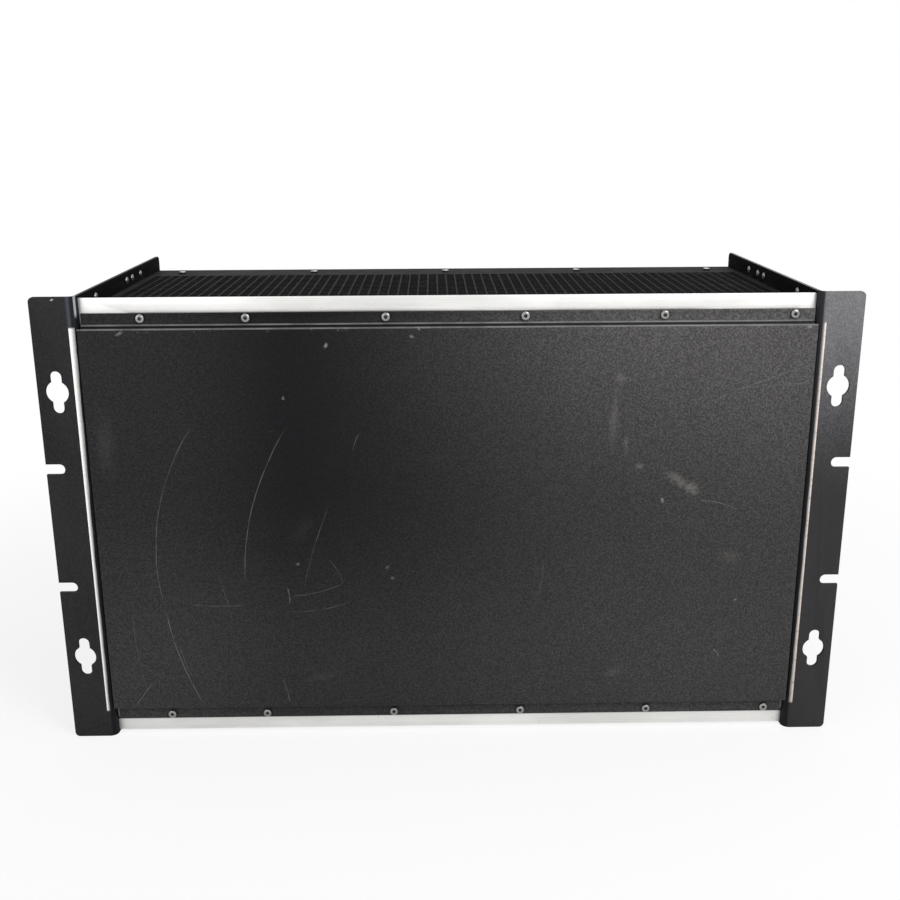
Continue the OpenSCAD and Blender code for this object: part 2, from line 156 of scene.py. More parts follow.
def node(tree, kind, inputs=None, **settings):
    """Adds a node; each input is a value or the socket that feeds it."""
    made = tree.nodes.new(kind)
    for name, value in settings.items():
        setattr(made, name, value)
    for key, value in (inputs or {}).items():
        if isinstance(value, bpy.types.NodeSocket):
            tree.links.new(value, made.inputs[key])
        else:
            made.inputs[key].default_value = value
    return made


def calc(tree, operation, a, b=0.0, c=0.0, clamp=False):
    """A Math node's result."""
    return node(tree, "ShaderNodeMath", {0: a, 1: b, 2: c}, operation=operation, use_clamp=clamp).outputs[0]


def times(tree, *values):
    """The product of several values."""
    product = values[0]
    for value in values[1:]:
        product = calc(tree, "MULTIPLY", product, value)
    return product


def axes(tree, vector):
    """A vector's X, Y and Z."""
    return node(tree, "ShaderNodeSeparateXYZ", {0: vector}).outputs


def vectors(tree, operation, a, b):
    """The node that joins two vectors by an operation."""
    return node(tree, "ShaderNodeVectorMath", {0: a, 1: b}, operation=operation)


def diagonal(tree, a, b):
    """The length of two sides at a right angle."""
    return calc(tree, "SQRT", calc(tree, "ADD", calc(tree, "POWER", a, 2.0), calc(tree, "POWER", b, 2.0)))


def from_middle(tree, height):
    """How far a height lies above or below the cage's middle."""
    return calc(tree, "ABSOLUTE", calc(tree, "SUBTRACT", height, MID_Z))


def step(tree, value, low, high, out_low=0.0, out_high=1.0):
    """Maps low..high smoothly to out_low..out_high and holds the ends."""
    inputs = {"Value": value, "From Min": low, "From Max": high, "To Min": out_low, "To Max": out_high}
    return node(tree, "ShaderNodeMapRange", inputs, interpolation_type="SMOOTHSTEP").outputs[0]


def mix(tree, factor, a, b):
    """A colour between a and b."""
    made = node(tree, "ShaderNodeMix", {0: factor}, data_type="RGBA")
    for index, value in ((6, a), (7, b)):
        if isinstance(value, bpy.types.NodeSocket):
            tree.links.new(value, made.inputs[index])
        else:
            made.inputs[index].default_value = (*value[:3], 1.0)
    return made.outputs[2]


def shades(tree, tone, colour, low, high):
    """A colour times low to high as the tone rises."""
    return mix(tree, tone, [low * c for c in colour], [high * c for c in colour])


def tint(tree, base, mask, strength, colour):
    """Base turned towards a colour by a mask times a strength."""
    return mix(tree, times(tree, mask, strength), base, colour)


def noise(tree, vector, scale, detail=2.0, roughness=0.5, stretch=None, distortion=0.0):
    """A noise value; stretch lengthens its grain along an axis."""
    if stretch is not None:
        vector = node(tree, "ShaderNodeMapping", {"Vector": vector, "Scale": stretch}).outputs[0]
    inputs = {
        "Vector": vector, "Scale": scale, "Detail": detail, "Roughness": roughness, "Distortion": distortion}
    return node(tree, "ShaderNodeTexNoise", inputs).outputs["Fac"]


def group_tree(name, inputs, outputs):
    """An empty shader node group with its sockets, its input node and its output node."""
    tree = bpy.data.node_groups.new(name, "ShaderNodeTree")
    for label, kind, default in inputs:
        socket = tree.interface.new_socket(name=label, in_out="INPUT", socket_type=kind)
        if default is not None:
            socket.default_value = default
    for label, kind in outputs:
        tree.interface.new_socket(name=label, in_out="OUTPUT", socket_type=kind)
    source = tree.nodes.new("NodeGroupInput")
    result = tree.nodes.new("NodeGroupOutput")
    return tree, source.outputs, result.inputs


def use(tree, build, **values):
    """Places a shared effect in a tree; build makes its group the first time."""
    name = build.__doc__.split(":")[0]
    group = bpy.data.node_groups.get(name) or build(name)
    made = tree.nodes.new("ShaderNodeGroup")
    made.node_tree = group
    for key, value in values.items():
        label = key.replace("_", " ")
        if isinstance(value, bpy.types.NodeSocket):
            tree.links.new(value, made.inputs[label])
        else:
            made.inputs[label].default_value = value
    return made.outputs


def feed(tree, value, socket):
    tree.links.new(value, socket)


# ---- effects that several materials share ----


def paint_grain(name):
    """Paint grain: the fine leathery relief of textured paint, and its slow change of tone."""
    tree, given, result = group_tree(
        name,
        [("Vector", "NodeSocketVector", None), ("Size", "NodeSocketFloat", 0.0008)],
        [("Height", "NodeSocketFloat"), ("Speckle", "NodeSocketFloat"), ("Tone", "NodeSocketFloat")])
    scale = calc(tree, "DIVIDE", 1.0, given["Size"])
    fine = noise(tree, given["Vector"], scale, detail=3.0, roughness=0.6)
    pits = node(tree, "ShaderNodeTexVoronoi", {"Vector": given["Vector"], "Scale": scale})
    height = calc(tree, "ADD", fine, times(tree, pits.outputs["Distance"], 0.5))
    feed(tree, height, result["Height"])
    feed(tree, step(tree, fine, 0.36, 0.7), result["Speckle"])
    feed(tree, noise(tree, given["Vector"], 9.0, detail=4.0), result["Tone"])
    return tree


def worn_edges(name):
    """Worn edges: a broken mask along outer edges, from the difference of rounded and true normals."""
    tree, given, result = group_tree(
        name,
        [("Vector", "NodeSocketVector", None), ("Reach", "NodeSocketFloat", 0.0006),
         ("Amount", "NodeSocketFloat", 0.5)],
        [("Mask", "NodeSocketFloat")])
    rounded = node(tree, "ShaderNodeBevel", {"Radius": given["Reach"]}, samples=2).outputs[0]
    true = node(tree, "ShaderNodeNewGeometry").outputs["True Normal"]
    alike = vectors(tree, "DOT_PRODUCT", rounded, true).outputs["Value"]
    turned = step(tree, alike, 0.995, 0.9)
    breaks = noise(tree, given["Vector"], 160.0, detail=4.0, roughness=0.65)
    limit = calc(tree, "SUBTRACT", 0.85, times(tree, given["Amount"], 0.4))
    broken = step(tree, calc(tree, "SUBTRACT", breaks, limit), 0.0, 0.06)
    feed(tree, times(tree, turned, broken), result["Mask"])
    return tree


def arc_scratch(name):
    """Arc scratch: one thin curved scratch in the X-Z plane, fading towards its ends."""
    tree, given, result = group_tree(
        name,
        [("Vector", "NodeSocketVector", None), ("Centre", "NodeSocketVector", (0.0, 0.0, 0.0)),
         ("Radius", "NodeSocketFloat", 0.1), ("Width", "NodeSocketFloat", 0.0002),
         ("Middle", "NodeSocketFloat", 0.0), ("Sweep", "NodeSocketFloat", 0.5)],
        [("Mask", "NodeSocketFloat")])
    offset = vectors(tree, "SUBTRACT", given["Vector"], given["Centre"])
    parts = axes(tree, offset.outputs[0])
    flat = node(tree, "ShaderNodeCombineXYZ", {"X": parts["X"], "Y": parts["Z"]}).outputs[0]
    length = node(tree, "ShaderNodeVectorMath", {0: flat}, operation="LENGTH").outputs["Value"]
    away = calc(tree, "ABSOLUTE", calc(tree, "SUBTRACT", length, given["Radius"]))
    line = step(tree, calc(tree, "DIVIDE", away, given["Width"]), 1.0, 0.3)
    angle = calc(tree, "ARCTAN2", parts["Z"], parts["X"])
    turn = calc(tree, "WRAP", calc(tree, "SUBTRACT", angle, given["Middle"]), math.pi, -math.pi)
    ends = step(tree, calc(tree, "DIVIDE", calc(tree, "ABSOLUTE", turn), given["Sweep"]), 1.0, 0.75)
    feed(tree, times(tree, line, ends), result["Mask"])
    return tree


def rubbed_patch(name):
    """Rubbed patch: a soft spot where the paint is scuffed, long along a slanting line in the X-Z plane."""
    tree, given, result = group_tree(
        name,
        [("Vector", "NodeSocketVector", None), ("Centre", "NodeSocketVector", (0.0, 0.0, 0.0)),
         ("Slant", "NodeSocketFloat", 0.0), ("Length", "NodeSocketFloat", 0.02),
         ("Width", "NodeSocketFloat", 0.006), ("Ragged", "NodeSocketFloat", 0.0)],
        [("Mask", "NodeSocketFloat")])
    offset = vectors(tree, "SUBTRACT", given["Vector"], given["Centre"])
    turned = node(
        tree, "ShaderNodeVectorRotate",
        {"Vector": offset.outputs[0], "Axis": (0.0, 1.0, 0.0), "Angle": given["Slant"]},
        rotation_type="AXIS_ANGLE").outputs[0]
    parts = axes(tree, turned)
    along = calc(tree, "DIVIDE", parts["X"], given["Length"])
    across = calc(tree, "DIVIDE", parts["Z"], given["Width"])
    spread = diagonal(tree, along, across)
    feed(tree, step(tree, calc(tree, "ADD", spread, given["Ragged"]), 1.15, 0.0), result["Mask"])
    return tree


def settled_dust(name):
    """Settled dust: pale dust on faces that look up."""
    tree, given, result = group_tree(
        name, [("Vector", "NodeSocketVector", None)], [("Mask", "NodeSocketFloat")])
    normal = node(tree, "ShaderNodeNewGeometry").outputs["Normal"]
    up = step(tree, axes(tree, normal)["Z"], 0.6, 1.0)
    patches = step(tree, noise(tree, given["Vector"], 60.0, detail=5.0, roughness=0.7), 0.35, 0.75)
    feed(tree, times(tree, up, patches), result["Mask"])
    return tree


def drawn_metal(name):
    """Drawn metal: fine lines along X from the extrusion die, small dings and a slow change of tone."""
    tree, given, result = group_tree(
        name, [("Vector", "NodeSocketVector", None)],
        [("Lines", "NodeSocketFloat"), ("Dings", "NodeSocketFloat"), ("Tone", "NodeSocketFloat")])
    feed(tree, noise(tree, given["Vector"], 2600.0, detail=3.0, stretch=(0.012, 1.0, 1.0)), result["Lines"])
    dings = noise(tree, given["Vector"], 240.0, detail=4.0, roughness=0.7)
    feed(tree, step(tree, dings, 0.66, 0.74), result["Dings"])
    tone = noise(tree, given["Vector"], 38.0, detail=4.0, roughness=0.6, stretch=(0.35, 1.0, 1.0))
    feed(tree, tone, result["Tone"])
    return tree


def within(tree, value, low, high, soft):
    """1 where value lies between low and high, fading over soft."""
    rise = step(tree, value, low - soft, low)
    fall = step(tree, value, high, high + soft, 1.0, 0.0)
    return times(tree, rise, fall)


def join_masks(tree, masks):
    """The strongest of several masks at each point."""
    whole = masks[0]
    for mask in masks[1:]:
        whole = calc(tree, "MAXIMUM", whole, mask)
    return whole


# ---- materials ----


def new_material(name):
    """A material with its Principled shader and the object's coordinates."""
    material = bpy.data.materials.new(name)
    material.use_nodes = True
    tree = material.node_tree
    shader = next(n for n in tree.nodes if n.type == "BSDF_PRINCIPLED")
    place = tree.nodes.new("ShaderNodeTexCoord").outputs["Object"]
    return material, tree, shader, place


def bump(tree, shader, height, strength, distance):
    made = node(tree, "ShaderNodeBump", {"Height": height, "Strength": strength, "Distance": distance})
    feed(tree, made.outputs["Normal"], shader.inputs["Normal"])


def roughen(tree, shader, tone, span, least):
    """Roughness that rises with a tone from its least value."""
    feed(tree, calc(tree, "MULTIPLY_ADD", tone, span, least), shader.inputs["Roughness"])


def bare_band(tree, place, parts, left, right):
    """Where the fold beside the cover is worn to the metal, and how far across that band a point lies."""
    cover_low, cover_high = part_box("rear_cover")
    side = calc(tree, "ABSOLUTE", parts["X"])
    end = cover_high.x + BAND_END
    waver = times(tree, calc(tree, "SUBTRACT", noise(tree, place, 55.0, detail=4.0), 0.5), BAND_WAVER)
    left_width = step(tree, parts["Z"], 0.09, cover_high.z, *LEFT_BAND)
    right_width = step(tree, parts["Z"], 0.02, 0.12, *RIGHT_BAND)
    width = calc(tree, "ADD", times(tree, left, left_width), times(tree, right, right_width))
    inner = calc(tree, "SUBTRACT", end, calc(tree, "ADD", width, waver))
    rise = step(tree, calc(tree, "SUBTRACT", side, inner), 0.0, 0.3 * MM)
    fall = step(tree, side, end, end + 0.25 * MM, 1.0, 0.0)
    upright = within(tree, parts["Z"], cover_low.z + BAND_INSET, cover_high.z - BAND_INSET, 1.5 * MM)
    across = step(tree, calc(tree, "DIVIDE", calc(tree, "SUBTRACT", end, side), width), 0.05, 0.95)
    return times(tree, rise, fall, upright), across


def fold_shade(tree, base, parts, left, rear):
    """The dark bend beside the cover, with a pale turn and a bright line on the left beside the top rail."""
    cover_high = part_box("rear_cover")[1]
    side = calc(tree, "ABSOLUTE", parts["X"])
    # Painted shade darkens the bend beside the cover.
    fold_painted_shade = within(tree, side, cover_high.x - 2 * MM, cover_high.x + 1.8 * MM, 1.2 * MM)
    base = tint(tree, base, times(tree, fold_painted_shade, rear), 0.9, (0.0012, 0.0015, 0.0025))
    by_rail = times(tree, step(tree, parts["Z"], cover_high.z - 8 * MM, cover_high.z - 6 * MM), rear)
    # Painted reflection: a pale blue-grey turn of the bend beside the top rail, on the left.
    turn = within(tree, side, cover_high.x + 3.2 * MM, cover_high.x + 4.2 * MM, 0.9 * MM)
    turn = times(tree, turn, by_rail, left)
    base = tint(tree, base, turn, 0.5, (0.075, 0.085, 0.11))
    # Painted highlight: a bright line beside the top rail's end, on the left.
    glint = within(tree, side, cover_high.x - 0.1 * MM, cover_high.x + 0.5 * MM, 0.3 * MM)
    above = step(tree, parts["Z"], cover_high.z - 3 * MM, cover_high.z + 1 * MM)
    glint = times(tree, glint, by_rail, left, above)
    return tint(tree, base, glint, 0.7, (0.42, 0.45, 0.5))


def worn_band_metal(tree, place, colours, right, across):
    """The bare band's metal: bright at its outer side, brown at its inner side, and pitted."""
    metal = list(colours.aluminium)
    beige = [c * share for c, share in zip(metal, (0.78, 0.70, 0.66))]
    bright = mix(tree, right, [1.1 * c for c in metal], beige)
    pits = step(tree, noise(tree, place, 420.0, detail=4.0, roughness=0.7), 0.5, 0.68)
    depth = times(tree, pits, calc(tree, "MULTIPLY_ADD", right, 0.45, 0.15))
    bright = mix(tree, depth, bright, (0.2, 0.15, 0.12))
    # Painted shade: the band darkens towards its inner side beside the cover's edge.
    return mix(tree, across, bright, [0.22 * c for c in metal])


def plate_paint(colours):
    """Black paint of the side plates, with the bare metal band on the fold beside the cover."""
    material, tree, shader, place = new_material("plate_paint")
    grain = use(tree, paint_grain, Vector=place, Size=0.0009)
    worn = use(tree, worn_edges, Vector=place, Reach=0.0007, Amount=0.3)["Mask"]
    dust = use(tree, settled_dust, Vector=place)["Mask"]
    parts = axes(tree, place)
    left = step(tree, parts["X"], 0.001, -0.001)
    right = calc(tree, "SUBTRACT", 1.0, left)
    face_y = CAD_BOX[0].y
    rear = step(tree, parts["Y"], face_y + 6 * MM, face_y + 5 * MM)
    band, across = bare_band(tree, place, parts, left, right)
    band = times(tree, band, rear)
    ragged = calc(tree, "MULTIPLY_ADD", noise(tree, place, 300.0, detail=4.0, roughness=0.7), 2.4, -1.2)
    chip = use(
        tree, rubbed_patch, Vector=place, Centre=(CHIP_X, face_y, CAD_BOX[1].z - CHIP_DOWN),
        Slant=0.6, Length=0.0014, Width=0.0006, Ragged=ragged)["Mask"]
    bare = join_masks(tree, [band, times(tree, worn, 0.4), times(tree, chip, 0.5)])
    base = shades(tree, step(tree, grain["Tone"], 0.35, 0.75), colours.paint, 1.0, 1.9)
    # Painted sheen: the top of the right ear is painted lighter where the light falls.
    glare = times(tree, step(tree, parts["X"], *GLARE_X), step(tree, parts["Z"], *GLARE_Z))
    on_ear = step(tree, parts["Y"], face_y + 12 * MM, face_y + 5 * MM)
    off_ear = calc(tree, "SUBTRACT", 1.0, on_ear)
    # Painted shade: away from the ear plane the plates are turned towards blue-black.
    base = tint(tree, base, off_ear, 0.75, (0.0025, 0.0028, 0.004))
    # Painted light: the right ear, on the side the light falls from, is lighter all over than the left.
    base = tint(tree, base, times(tree, right, on_ear), 0.35, (0.042, 0.042, 0.045))
    base = mix(tree, calc(tree, "POWER", glare, 1.6), base, (0.125, 0.122, 0.128))
    # The paint's speckles turn pale inside the painted sheen.
    speck = times(tree, grain["Speckle"], on_ear, 0.55)
    base = mix(tree, speck, base, mix(tree, glare, [3.2 * c for c in colours.paint], (0.24, 0.24, 0.25)))
    base = fold_shade(tree, base, parts, left, rear)
    base = tint(tree, base, dust, 0.05, (0.35, 0.34, 0.32))
    base = mix(tree, bare, base, worn_band_metal(tree, place, colours, right, across))
    feed(tree, base, shader.inputs["Base Color"])
    feed(tree, times(tree, bare, 0.8), shader.inputs["Metallic"])
    roughen(tree, shader, grain["Tone"], 0.25, 0.4)
    shader.inputs["Specular IOR Level"].default_value = 0.14
    bump(tree, shader, grain["Height"], 0.35, 0.25 * MM)
    return material


def plate_inside_shaded(colours):
    """Flat black paint on the side plates' inner faces, which see little light and wear."""
    material, tree, shader, place = new_material("plate_inside_shaded")
    grain = use(tree, paint_grain, Vector=place, Size=0.0009)
    # Painted shade: the inner faces take a much darker copy of the plates' paint.
    base = shades(tree, grain["Tone"], colours.paint, 0.2, 0.5)
    feed(tree, base, shader.inputs["Base Color"])
    roughen(tree, shader, grain["Tone"], 0.15, 0.8)
    shader.inputs["Specular IOR Level"].default_value = 0.03
    bump(tree, shader, grain["Height"], 0.3, 0.25 * MM)
    return material


def arc_through(start, end, bow):
    """Centre, radius, direction of the middle and half sweep of an arc between two points, given its bow."""
    run = Vector(end) - Vector(start)
    left = Vector((-run.y, run.x)).normalized() * math.copysign(1.0, bow)
    bow = abs(bow)
    radius = (run.length ** 2 / 4 + bow ** 2) / (2 * bow)
    centre = (Vector(start) + Vector(end)) / 2 - left * (radius - bow)
    return centre, radius, math.atan2(left.y, left.x), math.asin(run.length / 2 / radius)


def cover_scratches(tree, place):
    """All thin scratches on the cover as one mask."""
    shake = node(tree, "ShaderNodeTexNoise", {"Vector": place, "Scale": 40.0, "Detail": 2.0}).outputs["Color"]
    shift = vectors(tree, "SUBTRACT", shake, (0.5, 0.5, 0.5)).outputs[0]
    shift = node(tree, "ShaderNodeVectorMath", {0: shift, "Scale": 1.6 * MM}, operation="SCALE").outputs[0]
    shaken = vectors(tree, "ADD", place, shift).outputs[0]
    masks = []
    for start, end, bow, width, strength in COVER_SCRATCHES:
        centre, radius, middle, sweep = arc_through(start, end, bow)
        mask = use(
            tree, arc_scratch, Vector=shaken, Centre=(centre.x * MM, 0.0, centre.y * MM), Radius=radius * MM,
            Width=width * MM, Middle=middle, Sweep=sweep)["Mask"]
        masks.append(times(tree, mask, strength))
    patchy = step(tree, noise(tree, place, 130.0, detail=3.0), 0.38, 0.6, 0.4, 1.0)
    return times(tree, join_masks(tree, masks), patchy)


def cover_rubs(tree, place):
    """All scuffs and specks on the cover as one mask."""
    ragged = calc(tree, "MULTIPLY_ADD", noise(tree, place, 420.0, detail=5.0, roughness=0.8), 3.2, -1.6)
    masks = []
    for centre, slant, length, width, strength in COVER_RUBS:
        mask = use(
            tree, rubbed_patch, Vector=place, Centre=(centre[0] * MM, 0.0, centre[1] * MM),
            Slant=math.radians(slant), Length=length * MM, Width=width * MM, Ragged=ragged)["Mask"]
        masks.append(times(tree, mask, strength))
    return join_masks(tree, masks)


def cover_painted_sheen(tree, parts, low, high):
    """How strongly handling has dulled the cover: most at the upper right, some along the bottom and left."""
    across = step(tree, parts["X"], low.x, high.x)
    rise = {"Value": parts["Z"], "From Min": low.z, "From Max": high.z}
    up = node(tree, "ShaderNodeMapRange", rise).outputs[0]
    upper = calc(tree, "MULTIPLY_ADD", calc(tree, "POWER", up, 2.0), 0.8, 0.2)
    lobe = times(tree, step(tree, parts["X"], -0.1, 0.16), upper)
    foot = step(tree, up, 0.62, 0.1, 0.0, 0.23)
    edge = step(tree, across, 0.2, 0.0, 0.0, 0.15)
    return calc(tree, "ADD", calc(tree, "ADD", lobe, foot), edge, clamp=True)


def cover_paint(colours):
    """Textured black paint of the rear cover, with its scratches, scuffs and rubbed top bends."""
    material, tree, shader, place = new_material("cover_paint")
    grain = use(tree, paint_grain, Vector=place, Size=0.00105)
    worn = use(tree, worn_edges, Vector=place, Reach=0.0008, Amount=0.4)["Mask"]
    parts = axes(tree, place)
    low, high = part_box("rear_cover")
    scratches = cover_scratches(tree, place)
    hair = noise(tree, place, 700.0, detail=2.0, stretch=(0.06, 1.0, 1.0), distortion=0.6)
    hairs = times(tree, step(tree, hair, 0.68, 0.76), step(tree, noise(tree, place, 14.0), 0.45, 0.7))
    # Painted sheen: the cover is painted lighter where light falls and reflects on it, broken up by the
    # paint's tone.
    blotch = calc(tree, "MULTIPLY_ADD", grain["Tone"], 0.5, 0.75)
    painted_sheen = calc(tree, "MULTIPLY", cover_painted_sheen(tree, parts, low, high), blotch, clamp=True)
    base = mix(tree, painted_sheen, colours.cover, (0.05, 0.048, 0.048))
    # The paint's speckles turn pale inside the painted sheen.
    speck = times(tree, grain["Speckle"], 0.6)
    base = mix(tree, speck, base, mix(tree, painted_sheen, (0.01, 0.01, 0.0115), (0.17, 0.165, 0.163)))
    base = tint(tree, base, hairs, 0.06, (0.3, 0.29, 0.28))
    base = tint(tree, base, cover_rubs(tree, place), 0.7, (0.25, 0.24, 0.22))
    base = tint(tree, base, scratches, 0.5, (0.24, 0.235, 0.225))
    crest = high.z - CREST_DOWN
    foot = high.z - FOOT_DOWN
    # Painted shade: the riser between the crest and the foot of the top step is darkened.
    painted_riser_shade = within(tree, parts["Z"], crest + 0.5 * MM, foot - 0.5 * MM, 0.3 * MM)
    base = tint(tree, base, painted_riser_shade, 0.8, (0.002, 0.002, 0.002))
    # Painted highlights: light lines along the crest and the foot of the top step, where light from above
    # catches the bends.
    lines = join_masks(
        tree, [within(tree, parts["Z"], z - 0.25 * MM, z + 0.25 * MM, 0.35 * MM) for z in (crest, foot)])
    uneven = step(tree, noise(tree, place, 70.0, detail=4.0), 0.25, 0.65, 0.45, 1.0)
    base = tint(tree, base, times(tree, lines, uneven), 0.8, (0.2, 0.2, 0.2))
    top_edge = within(tree, parts["Z"], crest - 1.6 * MM, crest, 0.4 * MM)
    chipped = step(tree, noise(tree, place, 260.0, detail=5.0, roughness=0.75), 0.6, 0.68)
    chips = times(tree, top_edge, chipped)
    bare = join_masks(tree, [times(tree, worn, 0.35), times(tree, chips, 0.4)])
    base = mix(tree, bare, base, (0.4, 0.38, 0.35))
    feed(tree, base, shader.inputs["Base Color"])
    rough = calc(tree, "MULTIPLY_ADD", grain["Tone"], 0.2, 0.45)
    feed(tree, calc(tree, "MULTIPLY_ADD", scratches, -0.12, rough), shader.inputs["Roughness"])
    feed(tree, times(tree, bare, 0.5), shader.inputs["Metallic"])
    shader.inputs["Specular IOR Level"].default_value = 0.12
    height = calc(tree, "SUBTRACT", grain["Height"], times(tree, scratches, 0.5))
    bump(tree, shader, height, 0.6, 0.3 * MM)
    return material


def vent_paint(colours):
    """Smooth black paint of the perforated panels, rubbed pale on the webs."""
    material, tree, shader, place = new_material("vent_paint")
    grain = use(tree, paint_grain, Vector=place, Size=0.0006)
    dust = use(tree, settled_dust, Vector=place)["Mask"]
    base = shades(tree, grain["Tone"], colours.vent, 1.0, 2.2)
    base = tint(tree, base, dust, 0.05, (0.3, 0.29, 0.27))
    rubbed = step(tree, noise(tree, place, 350.0, detail=4.0, roughness=0.7), 0.58, 0.7)
    base = tint(tree, base, rubbed, 0.06, (0.4, 0.39, 0.37))
    feed(tree, base, shader.inputs["Base Color"])
    roughen(tree, shader, grain["Tone"], 0.25, 0.6)
    shader.inputs["Specular IOR Level"].default_value = 0.05
    bump(tree, shader, grain["Height"], 0.2, 0.15 * MM)
    return material


def bare_aluminium(colours):
    """Drawn aluminium of the rails, with die lines, dings and dull patches."""
    material, tree, shader, place = new_material("bare_aluminium")
    metal = use(tree, drawn_metal, Vector=place)
    worn = use(tree, worn_edges, Vector=place, Reach=0.0005, Amount=0.6)["Mask"]
    dull = [0.86 * c for c in colours.aluminium]
    base = mix(tree, step(tree, metal["Tone"], 0.3, 0.7), dull, colours.aluminium)
    base = tint(tree, base, metal["Lines"], 0.18, [0.6 * c for c in colours.aluminium])
    base = tint(tree, base, metal["Dings"], 0.35, (0.33, 0.31, 0.28))
    base = tint(tree, base, worn, 0.5, (0.92, 0.92, 0.9))
    parts = axes(tree, place)
    cover_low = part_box("rear_cover")[0]
    rear = step(tree, parts["Y"], CAD_BOX[0].y + 9 * MM, CAD_BOX[0].y + 7 * MM)
    # Painted shadow of the cover's lower flange, cast on the bottom rail just below it.
    painted_flange_shadow = within(tree, parts["Z"], cover_low.z - 0.9 * MM, cover_low.z + 0.5 * MM, 0.25 * MM)
    base = tint(tree, base, times(tree, painted_flange_shadow, rear), 0.95, (0.012, 0.012, 0.012))
    from_mid = from_middle(tree, parts["Z"])
    lip_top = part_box("rear_top_rail")[1].z - MID_Z
    lines = join_masks(tree, [within(tree, from_mid, lip_top - d * MM, lip_top - (d - 0.12) * MM, 0.15 * MM)
                              for d in (1.2, 2.3, 7.4)])
    base = tint(tree, base, times(tree, lines, rear), 0.22, (0.3, 0.3, 0.29))
    feed(tree, base, shader.inputs["Base Color"])
    shader.inputs["Metallic"].default_value = 0.85
    rough = calc(tree, "MULTIPLY_ADD", metal["Tone"], 0.25, 0.24)
    feed(tree, calc(tree, "MULTIPLY_ADD", metal["Lines"], 0.12, rough), shader.inputs["Roughness"])
    height = calc(tree, "SUBTRACT", metal["Lines"], times(tree, metal["Dings"], 1.5))
    bump(tree, shader, height, 0.25, 0.08 * MM)
    return material


def plated_steel(name, colour, roughness, socket_shade=None, shine=None):
    """Plated screws and rivets: tool marks, and grime low in the sockets."""
    material, tree, shader, place = new_material(name)
    spots = noise(tree, place, 900.0, detail=4.0, roughness=0.7)
    cloud = step(tree, noise(tree, place, 120.0, detail=3.0), 0.35, 0.7)
    base = shades(tree, cloud, colour, 0.75, 1.0)
    base = tint(tree, base, step(tree, spots, 0.55, 0.75), 0.4, [0.4 * c for c in colour])
    # Painted shade low in the sockets, where one is given.
    if socket_shade:
        base = mix(tree, socket_shade(tree, place), base, (0.01, 0.01, 0.01))
    # Painted highlight on the heads' tops, where one is given.
    if shine:
        base = mix(tree, shine(tree, place), base, (0.7, 0.69, 0.67))
    feed(tree, base, shader.inputs["Base Color"])
    shader.inputs["Metallic"].default_value = 0.9
    feed(tree, calc(tree, "MULTIPLY_ADD", spots, 0.3, roughness), shader.inputs["Roughness"])
    bump(tree, shader, spots, 0.2, 0.05 * MM)
    return material


def cover_socket_shade(tree, place):
    """Dark inside the cover screws' sockets, which lie below the heads' tops."""
    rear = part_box("cover_screws")[0].y
    depth = axes(tree, place)["Y"]
    return step(tree, depth, rear + 0.35 * MM, rear + 0.8 * MM, 0.0, 0.92)


def vent_screw_height(tree, place):
    """How far a point of a vent screw lies from the cage's middle, and where the heads' tops lie."""
    low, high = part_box("vent_screws")
    return from_middle(tree, axes(tree, place)["Z"]), (high.z - low.z) / 2


def vent_socket_shade(tree, place):
    """Dark inside the vent screws' sockets."""
    above, top = vent_screw_height(tree, place)
    return step(tree, above, top - 0.35 * MM, top - 0.8 * MM, 0.0, 0.9)


def vent_screw_highlight(tree, place):
    """Where the finish has worn off the tops of the vent screws' heads."""
    above, top = vent_screw_height(tree, place)
    patch = step(tree, noise(tree, place, 300.0, detail=2.0), 0.35, 0.55, 0.4, 1.0)
    return times(tree, step(tree, above, top - 0.5 * MM, top - 0.2 * MM, 0.0, 0.75), patch)


def moulded_plastic(colours):
    """Grey moulded card guides, with a faint sheen and handling marks."""
    material, tree, shader, place = new_material("guide_plastic")
    grain = use(tree, paint_grain, Vector=place, Size=0.0005)
    dust = use(tree, settled_dust, Vector=place)["Mask"]
    marks = step(tree, noise(tree, place, 240.0, detail=4.0, roughness=0.7), 0.6, 0.72)
    base = shades(tree, grain["Tone"], colours.guide, 0.8, 1.2)
    base = tint(tree, base, dust, 0.2, (0.42, 0.4, 0.37))
    base = tint(tree, base, marks, 0.2, [2.2 * c for c in colours.guide])
    feed(tree, base, shader.inputs["Base Color"])
    roughen(tree, shader, grain["Tone"], 0.25, 0.36)
    bump(tree, shader, grain["Height"], 0.15, 0.08 * MM)
    return material


def repeating(tree, value, start, pitch):
    """How far value lies from the nearest copy of start, at a given pitch."""
    share = calc(tree, "DIVIDE", calc(tree, "SUBTRACT", value, start), pitch)
    return times(tree, calc(tree, "PINGPONG", share, 0.5), pitch)


def connector_plastic(colours):
    """Moulded connector bodies, with dark slots and gold contacts at their pitch in the rows."""
    material, tree, shader, place = new_material("connector_plastic")
    grain = use(tree, paint_grain, Vector=place, Size=0.0005)
    parts = axes(tree, place)
    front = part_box("upper_connector_1")[1].y
    sunk = within(tree, parts["Y"], front - 1.4 * MM, front - 0.6 * MM, 0.2 * MM)
    near = repeating(tree, parts["Z"], MID_Z, CONTACT_PITCH)
    contact = times(tree, sunk, step(tree, near, 0.6 * MM, 0.4 * MM))
    # Painted shade: the openings around the contacts are coloured dark.
    slot = times(tree, sunk, step(tree, near, 1.05 * MM, 0.85 * MM))
    base = shades(tree, grain["Tone"], colours.connector, 0.85, 1.1)
    base = mix(tree, slot, base, (0.02, 0.018, 0.015))
    base = mix(tree, contact, base, (0.75, 0.5, 0.18))
    feed(tree, base, shader.inputs["Base Color"])
    feed(tree, times(tree, contact, 0.95), shader.inputs["Metallic"])
    roughen(tree, shader, grain["Tone"], 0.2, 0.4)
    bump(tree, shader, grain["Height"], 0.12, 0.08 * MM)
    return material


